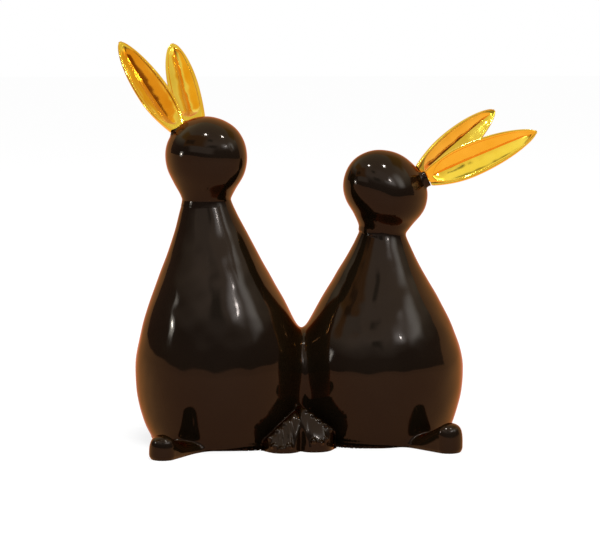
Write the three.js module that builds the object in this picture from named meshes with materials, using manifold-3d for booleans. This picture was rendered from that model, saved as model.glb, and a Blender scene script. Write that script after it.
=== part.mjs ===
// Bunny couple figurine: two glazed rabbits that sit side by side with their bellies joined.
// Millimetres, +Z up. X runs along the line through the two bodies, Y points away from the viewer.
// The bodies and heads are hollow castings. The ears, feet and tails are solid pieces of clay.
// Every piece is set on its neighbour with a thin joint of slip.

import * as THREE from "three";
import { ConvexGeometry } from "three/addons/geometries/ConvexGeometry.js";
import { mergeVertices } from "three/addons/utils/BufferGeometryUtils.js";
import Module from "manifold-3d";

const manifoldLibrary = await Module();
manifoldLibrary.setup();

// Castings
const CASTING_WALL = 4;
const SLIP_JOINT = 0.3;
const VENT_DIAMETER = 8;

// Bodies
const BODY_SPACING = 77;
const BELLY_RADIUS = 41;
const BELLY_HEIGHT = 34;
const BELLY_DEPTH = 78;
const BASE_RADIUS = 34;
const BASE_ROUNDING = 2.5;
const LEFT_NECK_HEIGHT = 116;
const LEFT_NECK_RADIUS = 11.3;
const LEFT_NECK_LEAN = 6.3;
const LEFT_NECK_TILT = 0;
const RIGHT_NECK_HEIGHT = 100;
const RIGHT_NECK_RADIUS = 10.8;
const RIGHT_NECK_LEAN = 1.2;
const RIGHT_NECK_TILT = 12.8;

// The web of slip that fills the valley where the two bellies meet
const WEB_HEIGHT = 56;
const WEB_PROUD = 4.5;
const WEB_THICKNESS = 6;

// Heads
const SPIGOT_LENGTH = 8;
const SPIGOT_BORE = 9;
const LEFT_HEAD_LENGTH = 43;
const LEFT_HEAD_WIDTH = 38;
const LEFT_HEAD_HEIGHT = 39.2;
const LEFT_HEAD_TURN = 40;
const LEFT_HEAD_NOD = 12;
const LEFT_HEAD_FORWARD = 0.5;
const LEFT_HEAD_RISE = 20;
const RIGHT_HEAD_LENGTH = 43.5;
const RIGHT_HEAD_WIDTH = 38;
const RIGHT_HEAD_HEIGHT = 36;
const RIGHT_HEAD_TURN = -70;
const RIGHT_HEAD_NOD = -16;
const RIGHT_HEAD_FORWARD = 3.4;
const RIGHT_HEAD_RISE = 20.3;

// Ears
const LEFT_EAR_LENGTH = 52;
const LEFT_EAR_WIDTH = 15;
const RIGHT_EAR_LENGTH = 56;
const RIGHT_EAR_WIDTH = 16;
const EAR_THICKNESS = 5;
const EAR_TROUGH_DEPTH = 2.7;
const EAR_RIM = 1.8;
const EAR_TIP_WIDTH = 2;
const EAR_ROOT_WIDTH = 7.6;
const EAR_ROOT_THICKNESS = 4.8;
const EAR_STUB_LENGTH = 2.4;
const EAR_TANG_DIAMETER = 2.6;
const EAR_TANG_LENGTH = 4.5;

// Feet and tails
const FOOT_LENGTH = 32;
const FOOT_WIDTH = 14.5;
const FOOT_HEIGHT = 11;
const FOOT_SPLAY = 33;
const LEFT_FOOT_REACH = 27.5;
const RIGHT_FOOT_REACH = 23.5;
const PAW_HEIGHT = 18.5;
const PAW_EDGE_RADIUS = 3.5;
const PAW_TOE_RADIUS = 5.5;
const PAW_TOE_HEIGHT = 8.5;
const PAW_PARTING = -4;
const PAW_ROOT_DEPTH = 17;
const LEFT_PAW_WIDTH = 19;
const LEFT_PAW_REACH = 43;
const RIGHT_PAW_WIDTH = 20;
const RIGHT_PAW_REACH = 42;
const TAIL_DIAMETER = 17;
const TAIL_HEIGHT = 15;

// Outlines, as shares of the height or width that they run over
const LOWER_BELLY = { rise: 0.25, fullness: 0.55, swell: 0.6 };
const SHOULDER = { fall: 0.28, flareRise: 0.68, flareWidth: 0.29 };
const LEAN_POWER = 1.3;
const SNOUT_TAPER = 0.18;
const EAR_WIDEST_AT = 0.38;
const EAR_TIP_POWER = 0.8;
const EAR_TROUGH_POWER = 0.5;
const FOOT_CENTRE = 0.32;

// Smoothness of the surfaces
const SKIN = { around: 36, steps: 7, egg: 24 };
const HOLLOW = { around: 20, steps: 4, egg: 16 };
const LUMP_SEGMENTS = 20;
const PAW_SEGMENTS = 10;
const PIN_SEGMENTS = 20;
const EAR_STATIONS = 14;
const EAR_BACK_STEPS = 6;

const MERGE_DISTANCE = 1e-4;

// How far a cutter runs past the surface that it opens
const OVERRUN = 2 * CASTING_WALL;
const CUTTER_SIZE = 8 * (LEFT_NECK_HEIGHT + LEFT_HEAD_HEIGHT + LEFT_EAR_LENGTH);
const AXIS_OFFSET = BODY_SPACING / 2;
const DEPTH_RATIO = BELLY_DEPTH / (2 * BELLY_RADIUS);

const radians = THREE.MathUtils.degToRad;

// One entry for each rabbit. An ear's seat is the way from the middle of the head to its root and
// its pose is the way it points: a bearing from +X towards +Y and a rise from the horizontal.
const RABBITS = {
  left: {
    side: -1,
    neck: {
      height: LEFT_NECK_HEIGHT,
      radius: LEFT_NECK_RADIUS,
      lean: LEFT_NECK_LEAN,
      tilt: radians(LEFT_NECK_TILT),
    },
    head: {
      length: LEFT_HEAD_LENGTH,
      width: LEFT_HEAD_WIDTH,
      height: LEFT_HEAD_HEIGHT,
      turn: radians(LEFT_HEAD_TURN),
      nod: radians(LEFT_HEAD_NOD),
      forward: LEFT_HEAD_FORWARD,
      rise: LEFT_HEAD_RISE,
    },
    ears: {
      front: { seat: { bearing: 172, rise: 43 }, pose: { bearing: 136, rise: 47 }, twist: 25 },
      rear: { seat: { bearing: 100, rise: 43 }, pose: { bearing: 107, rise: 44 }, twist: 0 },
    },
    ear: { length: LEFT_EAR_LENGTH, width: LEFT_EAR_WIDTH },
    footReach: LEFT_FOOT_REACH,
    paw: { width: LEFT_PAW_WIDTH, reach: LEFT_PAW_REACH },
  },
  right: {
    side: 1,
    neck: {
      height: RIGHT_NECK_HEIGHT,
      radius: RIGHT_NECK_RADIUS,
      lean: RIGHT_NECK_LEAN,
      tilt: radians(RIGHT_NECK_TILT),
    },
    head: {
      length: RIGHT_HEAD_LENGTH,
      width: RIGHT_HEAD_WIDTH,
      height: RIGHT_HEAD_HEIGHT,
      turn: radians(RIGHT_HEAD_TURN),
      nod: radians(RIGHT_HEAD_NOD),
      forward: RIGHT_HEAD_FORWARD,
      rise: RIGHT_HEAD_RISE,
    },
    ears: {
      front: { seat: { bearing: -12, rise: 26 }, pose: { bearing: -6, rise: 36 }, twist: 0 },
      rear: { seat: { bearing: 15, rise: 27 }, pose: { bearing: 44, rise: 38 }, twist: 0 },
    },
    ear: { length: RIGHT_EAR_LENGTH, width: RIGHT_EAR_WIDTH },
    footReach: RIGHT_FOOT_REACH,
    paw: { width: RIGHT_PAW_WIDTH, reach: RIGHT_PAW_REACH },
  },
};

const glaze = { color: 0x1c130d, roughness: 0.12, metalness: 0 };
const gold = { color: 0xd99a2c, roughness: 0.18, metalness: 1 };

// A solid that can be joined and cut, from any closed geometry
function solidOf(geometry) {
  const bare = geometry.clone();
  bare.deleteAttribute("normal");
  bare.deleteAttribute("uv");
  const merged = mergeVertices(bare, MERGE_DISTANCE);
  const corners = merged.getIndex().array;
  const triangles = [];
  for (let i = 0; i < corners.length; i += 3) {
    const [a, b, c] = corners.slice(i, i + 3);
    if (a !== b && b !== c && c !== a) {
      triangles.push(a, b, c);
    }
  }
  const mesh = new manifoldLibrary.Mesh({
    numProp: 3,
    vertProperties: new Float32Array(merged.getAttribute("position").array),
    triVerts: new Uint32Array(triangles),
  });
  return new manifoldLibrary.Manifold(mesh);
}

function geometryOf(solid) {
  const mesh = solid.getMesh();
  const geometry = new THREE.BufferGeometry();
  geometry.setAttribute("position", new THREE.BufferAttribute(mesh.vertProperties, 3));
  geometry.setIndex(new THREE.BufferAttribute(mesh.triVerts, 1));
  geometry.computeVertexNormals();
  return geometry;
}

function pieceOf(name, solid, finish) {
  const piece = new THREE.Mesh(geometryOf(solid), new THREE.MeshStandardMaterial(finish));
  piece.name = name;
  return piece;
}

// A block with one face through the origin, which fills the space on that face's positive side
function halfSpace(axis, sign) {
  const block = new THREE.BoxGeometry(CUTTER_SIZE, CUTTER_SIZE, CUTTER_SIZE);
  const shift = new THREE.Vector3().setComponent(axis, (sign * CUTTER_SIZE) / 2);
  return block.translate(shift.x, shift.y, shift.z);
}

// An upright round pin between two heights
function pin(radius, low, high) {
  const cylinder = new THREE.CylinderGeometry(radius, radius, high - low, PIN_SEGMENTS);
  return cylinder.rotateX(Math.PI / 2).translate(0, 0, (low + high) / 2);
}

function direction({ bearing, rise }) {
  const level = Math.cos(radians(rise));
  return new THREE.Vector3(
    level * Math.cos(radians(bearing)),
    level * Math.sin(radians(bearing)),
    Math.sin(radians(rise)),
  );
}

// A closed skin through rings of equally many points, counter-clockwise as seen from the last ring
function loft(rings) {
  const count = rings[0].length;
  const points = rings.flat();
  const faces = [];
  for (let ring = 0; ring < rings.length - 1; ring += 1) {
    for (let i = 0; i < count; i += 1) {
      const a = ring * count + i;
      const b = ring * count + ((i + 1) % count);
      faces.push(a, b, b + count, a, b + count, a + count);
    }
  }
  const top = (rings.length - 1) * count;
  for (let i = 1; i < count - 1; i += 1) {
    faces.push(0, i + 1, i, top, top + i, top + i + 1);
  }
  const geometry = new THREE.BufferGeometry().setFromPoints(points);
  geometry.setIndex(faces);
  return geometry;
}

// The outline of a body from the middle of its base to above its neck, moved in by `inset`
function bodyOutline(neck, inset, steps) {
  const base = BASE_RADIUS - inset;
  const belly = BELLY_RADIUS - inset;
  const throat = neck.radius - inset;
  const foot = inset + BASE_ROUNDING;
  const lower = BELLY_HEIGHT - foot;
  const upper = neck.height - BELLY_HEIGHT;
  const outline = new THREE.Path();
  outline.moveTo(0, inset);
  outline.lineTo(base - BASE_ROUNDING, inset);
  outline.quadraticCurveTo(base, inset, base, foot);
  outline.bezierCurveTo(
    base + LOWER_BELLY.fullness * (belly - base), foot + LOWER_BELLY.rise * lower,
    belly, foot + LOWER_BELLY.swell * lower,
    belly, BELLY_HEIGHT,
  );
  outline.bezierCurveTo(
    belly, BELLY_HEIGHT + SHOULDER.fall * upper,
    throat + SHOULDER.flareWidth * (belly - throat), BELLY_HEIGHT + SHOULDER.flareRise * upper,
    throat, neck.height,
  );
  outline.lineTo(throat, neck.height + OVERRUN);
  outline.lineTo(0, neck.height + OVERRUN);
  return outline.getPoints(steps);
}

// A body turned from its outline, drawn in front to back and leaning outwards above the belly
function bodyForm({ side, neck }, inset, { around, steps } = SKIN) {
  const form = new THREE.LatheGeometry(bodyOutline(neck, inset, steps), around);
  form.rotateX(Math.PI / 2);
  form.scale(1, DEPTH_RATIO, 1);
  const position = form.getAttribute("position");
  for (let i = 0; i < position.count; i += 1) {
    const height = (position.getZ(i) - BELLY_HEIGHT) / (neck.height - BELLY_HEIGHT);
    const lean = neck.lean * Math.max(0, height) ** LEAN_POWER;
    position.setX(i, position.getX(i) + side * (AXIS_OFFSET + lean));
  }
  return form;
}

// Where the head stands: the middle of the neck's top, tilted with it
function neckFrame({ side, neck }) {
  const frame = new THREE.Matrix4().makeRotationY(neck.tilt);
  return frame.setPosition(side * (AXIS_OFFSET + neck.lean), 0, neck.height);
}

// The web is an oval disc on the join plane, a little wider than the patch where the bellies touch
function webForm() {
  const patch = Math.sqrt(Math.max(0, 1 - (AXIS_OFFSET / BELLY_RADIUS) ** 2));
  const web = new THREE.CylinderGeometry(1, 1, WEB_THICKNESS, SKIN.around);
  web.rotateZ(Math.PI / 2);
  web.scale(1, (patch * BELLY_DEPTH) / 2 + WEB_PROUD, WEB_HEIGHT / 2);
  return web.translate(0, 0, WEB_HEIGHT / 2);
}

function bodySolid(rabbit) {
  const { side, neck } = rabbit;
  const aboveNeck = halfSpace(2, 1).applyMatrix4(neckFrame(rabbit));
  const pastJoin = (clear) => halfSpace(0, -side).translate((side * SLIP_JOINT) / 2 + side * clear, 0, 0);
  const hollow = solidOf(bodyForm(rabbit, CASTING_WALL, HOLLOW))
    .subtract(solidOf(pastJoin(CASTING_WALL)));
  const vent = pin(VENT_DIAMETER / 2, -OVERRUN, OVERRUN).translate(side * AXIS_OFFSET, 0, 0);
  return solidOf(bodyForm(rabbit, 0))
    .add(solidOf(webForm()))
    .subtract(solidOf(pastJoin(0)))
    .subtract(solidOf(aboveNeck))
    .subtract(hollow)
    .subtract(solidOf(vent));
}

// The space that the bodies, their web and their slip take up, for cutting what is set on them
function bodySeats() {
  const seats = Object.values(RABBITS).map((rabbit) => solidOf(bodyForm(rabbit, -SLIP_JOINT)));
  const web = solidOf(webForm().translate(0, -SLIP_JOINT, 0));
  return seats[0].add(seats[1]).add(web).add(web.translate([0, 2 * SLIP_JOINT, 0]));
}

// The points of a head's egg, in the neck's frame. The snout is the narrower end.
function eggPoints(head, inset, segments) {
  const egg = new THREE.SphereGeometry(1, segments, segments / 2);
  egg.rotateX(Math.PI / 2);
  const position = egg.getAttribute("position");
  const points = [];
  for (let i = 0; i < position.count; i += 1) {
    const point = new THREE.Vector3().fromBufferAttribute(position, i);
    const taper = 1 - SNOUT_TAPER * Math.max(0, -point.y);
    points.push(new THREE.Vector3(
      point.x * taper * (head.width / 2 - inset),
      point.y * (head.length / 2 - inset),
      point.z * (head.height / 2 - inset),
    ));
  }
  const place = new THREE.Matrix4().makeRotationZ(head.turn);
  place.multiply(new THREE.Matrix4().makeTranslation(0, -head.forward, head.rise));
  place.multiply(new THREE.Matrix4().makeRotationX(head.nod));
  return points.map((point) => point.applyMatrix4(place));
}

// The head's skin: its egg and the ring where it stands on the neck, with a straight throat
function headForm({ neck, head }, inset, { around, egg } = SKIN) {
  const ring = [];
  for (let i = 0; i < around; i += 1) {
    const angle = (2 * Math.PI * i) / around;
    const radius = neck.radius - inset;
    ring.push(new THREE.Vector3(
      radius * Math.cos(angle),
      radius * DEPTH_RATIO * Math.sin(angle),
      SLIP_JOINT + inset,
    ));
  }
  return new ConvexGeometry([...eggPoints(head, inset, egg), ...ring]);
}

// The frame of an ear's root: Z along the ear, Y towards its back, X across it
function earFrame({ head }, headSkin, ear) {
  const middle = new THREE.Vector3(0, -head.forward, head.rise).applyAxisAngle(
    new THREE.Vector3(0, 0, 1), head.turn,
  );
  const ray = new THREE.Raycaster(middle, direction(ear.seat));
  const skin = new THREE.Mesh(headSkin, new THREE.MeshBasicMaterial({ side: THREE.DoubleSide }));
  const seat = ray.intersectObject(skin)[0].point;
  const along = direction(ear.pose);
  const back = new THREE.Vector3(0, 1, 0).addScaledVector(along, -along.y).normalize();
  back.applyAxisAngle(along, radians(ear.twist));
  const across = new THREE.Vector3().crossVectors(back, along);
  const frame = new THREE.Matrix4().makeBasis(across, back, along);
  return frame.setPosition(seat.addScaledVector(along, EAR_STUB_LENGTH));
}

function headSolid(rabbit, headSkin, earFrames) {
  const { neck } = rabbit;
  const spigotRadius = neck.radius - CASTING_WALL - SLIP_JOINT;
  const spigot = pin(spigotRadius, -SPIGOT_LENGTH, CASTING_WALL);
  spigot.scale(1, DEPTH_RATIO, 1);
  let head = solidOf(headSkin).add(solidOf(spigot));
  for (const frame of earFrames) {
    const stub = pin(EAR_ROOT_WIDTH / 2, -EAR_STUB_LENGTH - CASTING_WALL, 0);
    stub.scale(1, EAR_ROOT_THICKNESS / EAR_ROOT_WIDTH, 1);
    head = head.add(solidOf(stub.applyMatrix4(frame)));
  }
  head = head.subtract(solidOf(headForm(rabbit, CASTING_WALL, HOLLOW)));
  head = head.subtract(solidOf(pin(SPIGOT_BORE / 2, -SPIGOT_LENGTH - OVERRUN, OVERRUN)));
  for (const frame of earFrames) {
    const socket = pin(EAR_TANG_DIAMETER / 2 + SLIP_JOINT, -EAR_TANG_LENGTH, OVERRUN);
    head = head.subtract(solidOf(socket.applyMatrix4(frame)));
  }
  return head;
}

// Half the ear's width at a share of its length: a narrow root, a full leaf and a blunt tip
function earHalfWidth(width, share) {
  const widest = width / 2;
  if (share < EAR_WIDEST_AT) {
    const root = EAR_ROOT_WIDTH / 2;
    return root + (widest - root) * Math.sin((Math.PI / 2) * (share / EAR_WIDEST_AT));
  }
  const past = (share - EAR_WIDEST_AT) / (1 - EAR_WIDEST_AT);
  const tip = EAR_TIP_WIDTH / 2;
  return tip + (widest - tip) * (1 - past ** 2) ** EAR_TIP_POWER;
}

// One slice of an ear: a round back, and a front with a raised rim and a trough down its middle
function earSection({ length, width }, share) {
  const half = earHalfWidth(width, share);
  const fill = half / (width / 2);
  const rim = THREE.MathUtils.lerp(EAR_RIM / 2, EAR_RIM, fill);
  const swell = share < EAR_WIDEST_AT ? 1 : fill;
  const thickness = THREE.MathUtils.lerp(EAR_RIM, EAR_THICKNESS, swell);
  const hollowing = fill * Math.sin(Math.PI * share) ** EAR_TROUGH_POWER;
  const trough = Math.min(EAR_TROUGH_DEPTH * hollowing, thickness - EAR_RIM);
  const lift = -EAR_ROOT_THICKNESS / 2;
  const height = share * length;
  const section = [];
  for (let i = 0; i <= EAR_BACK_STEPS; i += 1) {
    const angle = (Math.PI * i) / EAR_BACK_STEPS;
    const back = rim / 2 + (thickness - rim / 2) * Math.sin(angle);
    section.push(new THREE.Vector3(half * Math.cos(angle), lift + back, height));
  }
  const brow = half - rim / 2;
  section.push(new THREE.Vector3(-brow, lift, height));
  section.push(new THREE.Vector3(-brow / 2, lift + trough / 2, height));
  section.push(new THREE.Vector3(0, lift + trough, height));
  section.push(new THREE.Vector3(brow / 2, lift + trough / 2, height));
  section.push(new THREE.Vector3(brow, lift, height));
  return section;
}

// An ear standing on its root, with the tang that seats in the head
function earSolid(size) {
  const rings = [];
  for (let station = 0; station <= EAR_STATIONS; station += 1) {
    rings.push(earSection(size, station / EAR_STATIONS));
  }
  const tang = pin(EAR_TANG_DIAMETER / 2, -EAR_TANG_LENGTH, EAR_RIM);
  return solidOf(loft(rings)).add(solidOf(tang));
}

// Cuts a lump flat on the ground and to the bodies that it is set against
function seated(lump) {
  return lump.subtract(solidOf(halfSpace(2, -1))).subtract(bodySeats());
}

function outerFootSolid({ side, footReach }) {
  const centreHeight = FOOT_HEIGHT * FOOT_CENTRE;
  const foot = new THREE.SphereGeometry(1, LUMP_SEGMENTS, LUMP_SEGMENTS / 2);
  foot.rotateX(Math.PI / 2);
  foot.scale(FOOT_WIDTH / 2, FOOT_LENGTH / 2, FOOT_HEIGHT - centreHeight);
  foot.translate(0, FOOT_LENGTH / 2 - BASE_RADIUS - footReach, centreHeight);
  foot.rotateZ(side * radians(FOOT_SPLAY));
  foot.translate(side * AXIS_OFFSET, 0, 0);
  return seated(solidOf(foot));
}

function ballPoints(x, y, z, radius) {
  const ball = new THREE.SphereGeometry(radius, PAW_SEGMENTS, PAW_SEGMENTS / 2);
  ball.translate(x, y, z);
  const position = ball.getAttribute("position");
  const points = [];
  for (let i = 0; i < position.count; i += 1) {
    points.push(new THREE.Vector3().fromBufferAttribute(position, i));
  }
  return points;
}

// The inner paw: a sloping wedge from the valley between the bodies down to a row of toes
function innerPawSolid({ side, paw }) {
  const near = PAW_PARTING + side * PAW_TOE_RADIUS;
  const far = PAW_PARTING + side * (paw.width - PAW_TOE_RADIUS);
  const toeFront = PAW_TOE_RADIUS - paw.reach;
  const toeMiddle = PAW_TOE_HEIGHT - PAW_TOE_RADIUS;
  const rootX = PAW_PARTING + side * PAW_EDGE_RADIUS;
  const rootZ = PAW_HEIGHT - PAW_EDGE_RADIUS;
  const wedge = new ConvexGeometry([
    ...ballPoints(rootX, -PAW_ROOT_DEPTH, rootZ, PAW_EDGE_RADIUS),
    ...ballPoints(rootX, -PAW_ROOT_DEPTH, 0, PAW_EDGE_RADIUS),
    ...ballPoints(near, toeFront, toeMiddle, PAW_TOE_RADIUS),
    ...ballPoints((near + far) / 2, toeFront, toeMiddle, PAW_TOE_RADIUS),
    ...ballPoints(far, toeFront + PAW_TOE_RADIUS, toeMiddle, PAW_TOE_RADIUS),
  ]);
  const otherSide = halfSpace(0, -side).translate(PAW_PARTING + (side * SLIP_JOINT) / 2, 0, 0);
  return seated(solidOf(wedge).subtract(solidOf(otherSide)));
}

function tailSolid({ side }) {
  const tail = new THREE.SphereGeometry(TAIL_DIAMETER / 2, LUMP_SEGMENTS, LUMP_SEGMENTS / 2);
  tail.rotateX(Math.PI / 2);
  tail.translate(side * AXIS_OFFSET, BELLY_DEPTH / 2, TAIL_HEIGHT);
  return seated(solidOf(tail));
}

// A head and its ears, grouped where the neck carries them
function headGroup(name, rabbit) {
  const group = new THREE.Group();
  const headSkin = headForm(rabbit, 0);
  const frames = {};
  for (const [place, ear] of Object.entries(rabbit.ears)) {
    frames[place] = earFrame(rabbit, headSkin, ear);
    const leaf = pieceOf(`${name}_${place}_ear`, earSolid(rabbit.ear), gold);
    leaf.applyMatrix4(frames[place]);
    leaf.translateZ(SLIP_JOINT);
    group.add(leaf);
  }
  group.add(pieceOf(`${name}_head`, headSolid(rabbit, headSkin, Object.values(frames)), glaze));
  group.applyMatrix4(neckFrame(rabbit));
  return group;
}

const figurine = new THREE.Group();
for (const [name, rabbit] of Object.entries(RABBITS)) {
  figurine.add(pieceOf(`${name}_body`, bodySolid(rabbit), glaze));
  figurine.add(headGroup(name, rabbit));
  figurine.add(pieceOf(`${name}_outer_foot`, outerFootSolid(rabbit), glaze));
  figurine.add(pieceOf(`${name}_inner_paw`, innerPawSolid(rabbit), glaze));
  figurine.add(pieceOf(`${name}_tail`, tailSolid(rabbit), glaze));
}

// The figurine stands on the middle of its own footprint box
figurine.updateMatrixWorld(true);
const extent = new THREE.Box3().setFromObject(figurine, true);
const middle = extent.getCenter(new THREE.Vector3());
figurine.position.set(-middle.x, -middle.y, -extent.min.z);

export default figurine;
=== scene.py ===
# Two rabbits in black-brown glazed pottery with gold lustre ears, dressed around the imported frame.
# Forms are worked out in millimetres in the figurine's own frame: X = 0 is the plane where the
# bellies join, Y = 0 runs through the middle of both bodies and Z = 0 is the ground.
# The glaze runs over every joint without a break, so all the glazed pieces share one skin. It is
# the zero level of a field, cut into its pieces along the joints.

import math

import bpy
import numpy as np
from mathutils import Matrix, Vector


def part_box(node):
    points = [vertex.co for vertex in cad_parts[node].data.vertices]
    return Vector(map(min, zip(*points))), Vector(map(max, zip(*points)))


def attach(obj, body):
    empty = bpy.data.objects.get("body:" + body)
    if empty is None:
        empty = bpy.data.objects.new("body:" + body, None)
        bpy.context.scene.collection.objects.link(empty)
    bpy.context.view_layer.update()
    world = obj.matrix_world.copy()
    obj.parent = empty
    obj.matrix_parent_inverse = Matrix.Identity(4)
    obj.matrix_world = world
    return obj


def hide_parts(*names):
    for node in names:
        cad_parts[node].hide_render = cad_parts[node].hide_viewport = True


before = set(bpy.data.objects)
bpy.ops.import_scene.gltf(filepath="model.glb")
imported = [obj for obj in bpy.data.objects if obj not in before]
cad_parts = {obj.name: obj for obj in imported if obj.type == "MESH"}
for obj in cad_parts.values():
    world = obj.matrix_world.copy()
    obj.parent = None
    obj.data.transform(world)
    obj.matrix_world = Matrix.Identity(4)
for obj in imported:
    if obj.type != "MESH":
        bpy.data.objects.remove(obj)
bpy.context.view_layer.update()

METRES = 0.001
TINY = 1e-9

# Castings
BODY_SPACING = 77.0
BELLY_RADIUS = 41.0
BELLY_HEIGHT = 34.0
BELLY_DEPTH = 78.0
BASE_RADIUS = 34.0
BASE_ROUNDING = 2.5
LOWER_BELLY = {"rise": 0.25, "fullness": 0.55, "swell": 0.6}
SHOULDER = {"fall": 0.28, "flare_rise": 0.68, "flare_width": 0.29}
LEAN_POWER = 1.3
LEAN_START = 0.12
STEEPEST_SLOPE = 4.0
PROFILE_EDGE_STEPS = 60
PROFILE_CURVE_STEPS = 400
PROFILE_LEVELS = 1200
SNOUT_TAPER = 0.18
SNOUT_EASE = 0.2
THROAT_END = 1.2

# Fillets of glaze and slip, as the distance that each one reaches
WEB_FILLET = 13.0
WEB_SPREAD = 12.0
WEB_SPREAD_HEIGHTS = (14.0, 46.0)
NECK_FILLET = 1.8
THROAT_FILLET = 1.2
THROAT_EASE = 6.0
STUB_FILLET = 2.2
FOOT_FILLET = 4.5
PAW_FILLET = 2.0
PAW_EDGE = 2.6
PAW_RIDGE = 3.2
PARTING_FILLET = 1.2
TAIL_FILLET = 4.0

# Feet and tails. For each millimetre behind its nose a foot gets wider by its spread on either side
# and lower by its fall, down to the height of its skirt.
FOOT_NOSE = 6.8
FOOT_SPREAD = 0.14
FOOT_BATTER = 0.02
FOOT_EDGE = 11.0
FOOT_FALL = 0.55
FOOT_SKIRT = 4.0
FOOT_SAG = 2.0
FOOT_TOE_IN = 0.9
FOOT_TOE_HEIGHT = 2.2
TAIL_DIAMETER = 17.0
TAIL_HEIGHT = 15.0

# Ears
EAR_THICKNESS = 5.2
EAR_WALL = 1.1
EAR_TROUGH_DEPTH = 3.9
EAR_RIM = 1.5
EAR_BEAD_TURN = 135.0
EAR_RIM_LEAST = 0.5
EAR_TIP_WIDTH = 2.0
EAR_ROOT_THICKNESS = 4.8
EAR_STUB_LENGTH = 2.4
EAR_WIDEST_AT = 0.38
EAR_SWELL_POWER = 0.8
EAR_SEAT_HALVINGS = 40
EAR_OPENING = (0.045, 0.955)
EAR_OPENING_EASE = (0.13, 0.1)
EAR_OPENING_LEAST = 0.05
EAR_TROUGH_SHARE = 0.97
EAR_LIP_WIDTH = 0.08
EAR_LIP_DEPTH = 0.12
EAR_WALL_FALL = 0.5
EAR_WALL_SAG = 0.38
EAR_STATIONS = 120
EAR_BACK_STEPS = 28
EAR_BEAD_STEPS = 8
EAR_LAND_STEPS = 3
EAR_WALL_STEPS = 14
EAR_WALL_CROWDING = 1.4
EAR_DOME_STEPS = 6
EAR_DOME_LEAST = 0.02
SLIP_JOINT = 0.3

# Net of the glazed skin. The ground lies halfway between its second and third layers.
SKIN_STEP = 0.7
SKIN_LOW = (-102.0, -58.0, -1.5 * SKIN_STEP)
SKIN_HIGH = (102.0, 54.0, 165.0)
CELL_CORNERS = [(dx, dy, dz) for dx in (0, 1) for dy in (0, 1) for dz in (0, 1)]
BLOCK = 8
CHUNK = 400000
PROBE = 0.04
FLATTEST = 1e-4
SETTLING_STEPS = 3
RELAXING_STEPS = 5
RELAXING_SHARE = 0.5

# Boxes round a piece and its fillets, from the piece's own place
HEAD_BOX = ((-40, -40, -16), (45, 40, 60))
FOOT_BOX = ((-26, -64, -6), (26, -8, 20))
PAW_BOX = ((-34, -54, -6), (30, 0, 32))
TAIL_BOX = ((-16, 22, -6), (16, 60, 34))
FAR_OUTSIDE = 100.0

# Lengths are in millimetres and angles in degrees. An ear's seat on its head and the way it points
# are each a bearing, from the right toward the back, and a rise, both in the neck's frame.
RABBITS = {
    "left": {
        "side": -1,
        "neck": {"height": 116.0, "radius": 11.3, "lean": 6.3, "tilt": 0.0},
        "head": {"length": 43.0, "width": 38.0, "height": 39.2, "turn": 40.0, "nod": 12.0,
                 "forward": 0.5, "rise": 20.0, "jowl": 0.0},
        "ears": {
            "front": {"seat": (172.0, 43.0), "pose": (134.8, 47.0), "twist": 25.0, "sink": 3.8,
                      "length": 52.0, "width": 16.6, "root": 7.6, "blunt": 0.7},
            "rear": {"seat": (112.0, 43.0), "pose": (102.5, 45.0), "twist": 0.0, "sink": 0.0,
                     "length": 52.0, "width": 15.0, "root": 13.0, "blunt": 0.62},
        },
        "foot": {"reach": 26.7, "height": 11.2, "splay": 33.1},
    },
    "right": {
        "side": 1,
        "neck": {"height": 100.0, "radius": 10.8, "lean": 1.2, "tilt": 12.8},
        "head": {"length": 43.5, "width": 38.0, "height": 36.0, "turn": -70.0, "nod": -16.0,
                 "forward": 3.4, "rise": 20.3, "jowl": 0.2},
        "ears": {
            "front": {"seat": (-12.0, 26.0), "pose": (-6.0, 36.0), "twist": 0.0, "sink": 0.0,
                      "length": 56.4, "width": 16.6, "root": 7.6, "blunt": 0.75},
            "rear": {"seat": (17.0, 31.0), "pose": (44.0, 38.4), "twist": 0.0, "sink": 3.0,
                     "length": 58.6, "width": 16.0, "root": 9.6, "blunt": 0.7},
        },
        "foot": {"reach": 23.4, "height": 13.6, "splay": 32.0},
    },
}

# A paw is a wedge with rounded edges. A face is the bearing toward which it falls from the peak,
# counted from the front to the right, and its fall for each millimetre. The first face is the pad.
# Creases between toes are lines in plan. A bead is a small drop of glaze, given by a bearing from the
# paw's middle to its rim and a share of the way from the peak to that place on the rim.
PAWS = {
    "left": {
        "middle": (-11.4, -23.5), "half": (9.6, 16.6), "peak": (-5.0, -30.6, 18.6),
        "faces": [(-12.0, 1.45), (-104.0, 0.95), (86.0, 3.0)],
        "creases": [
            {"start": (-13.1, -31.0), "end": (-12.2, -42.0)},
            {"start": (-9.2, -29.0), "end": (-6.9, -40.5)},
        ],
        "beads": [(-31, 0.42), (-31, 0.68), (-31, 0.95), (-19, 0.97), (-6, 0.97), (7, 0.97)],
    },
    "right": {
        "middle": (4.0, -23.0), "half": (9.6, 16.4), "peak": (-2.8, -30.2, 21.0),
        "faces": [(10.0, 1.5), (104.0, 0.8), (-86.0, 4.0)],
        "creases": [
            {"start": (-2.6, -34.0), "end": (-2.2, -41.0)},
            {"start": (0.2, -34.0), "end": (0.9, -41.0)},
            {"start": (7.2, -34.0), "end": (10.6, -38.0)},
        ],
        "beads": [(33, 0.16), (33, 0.36), (33, 0.58), (33, 0.78), (33, 0.97), (20, 0.97), (8, 0.97),
                  (-5, 0.97)],
    },
}
PAW_OUTLINE_POWER = 2.4
CREASE_DEPTH = 0.9
CREASE_WIDTH = 0.8
CREASE_FADE = (2.5, 4.0)
BEAD_RADIUS = 1.1
BEAD_SINK = 1.2
BEAD_FILLET = 1.5

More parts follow.
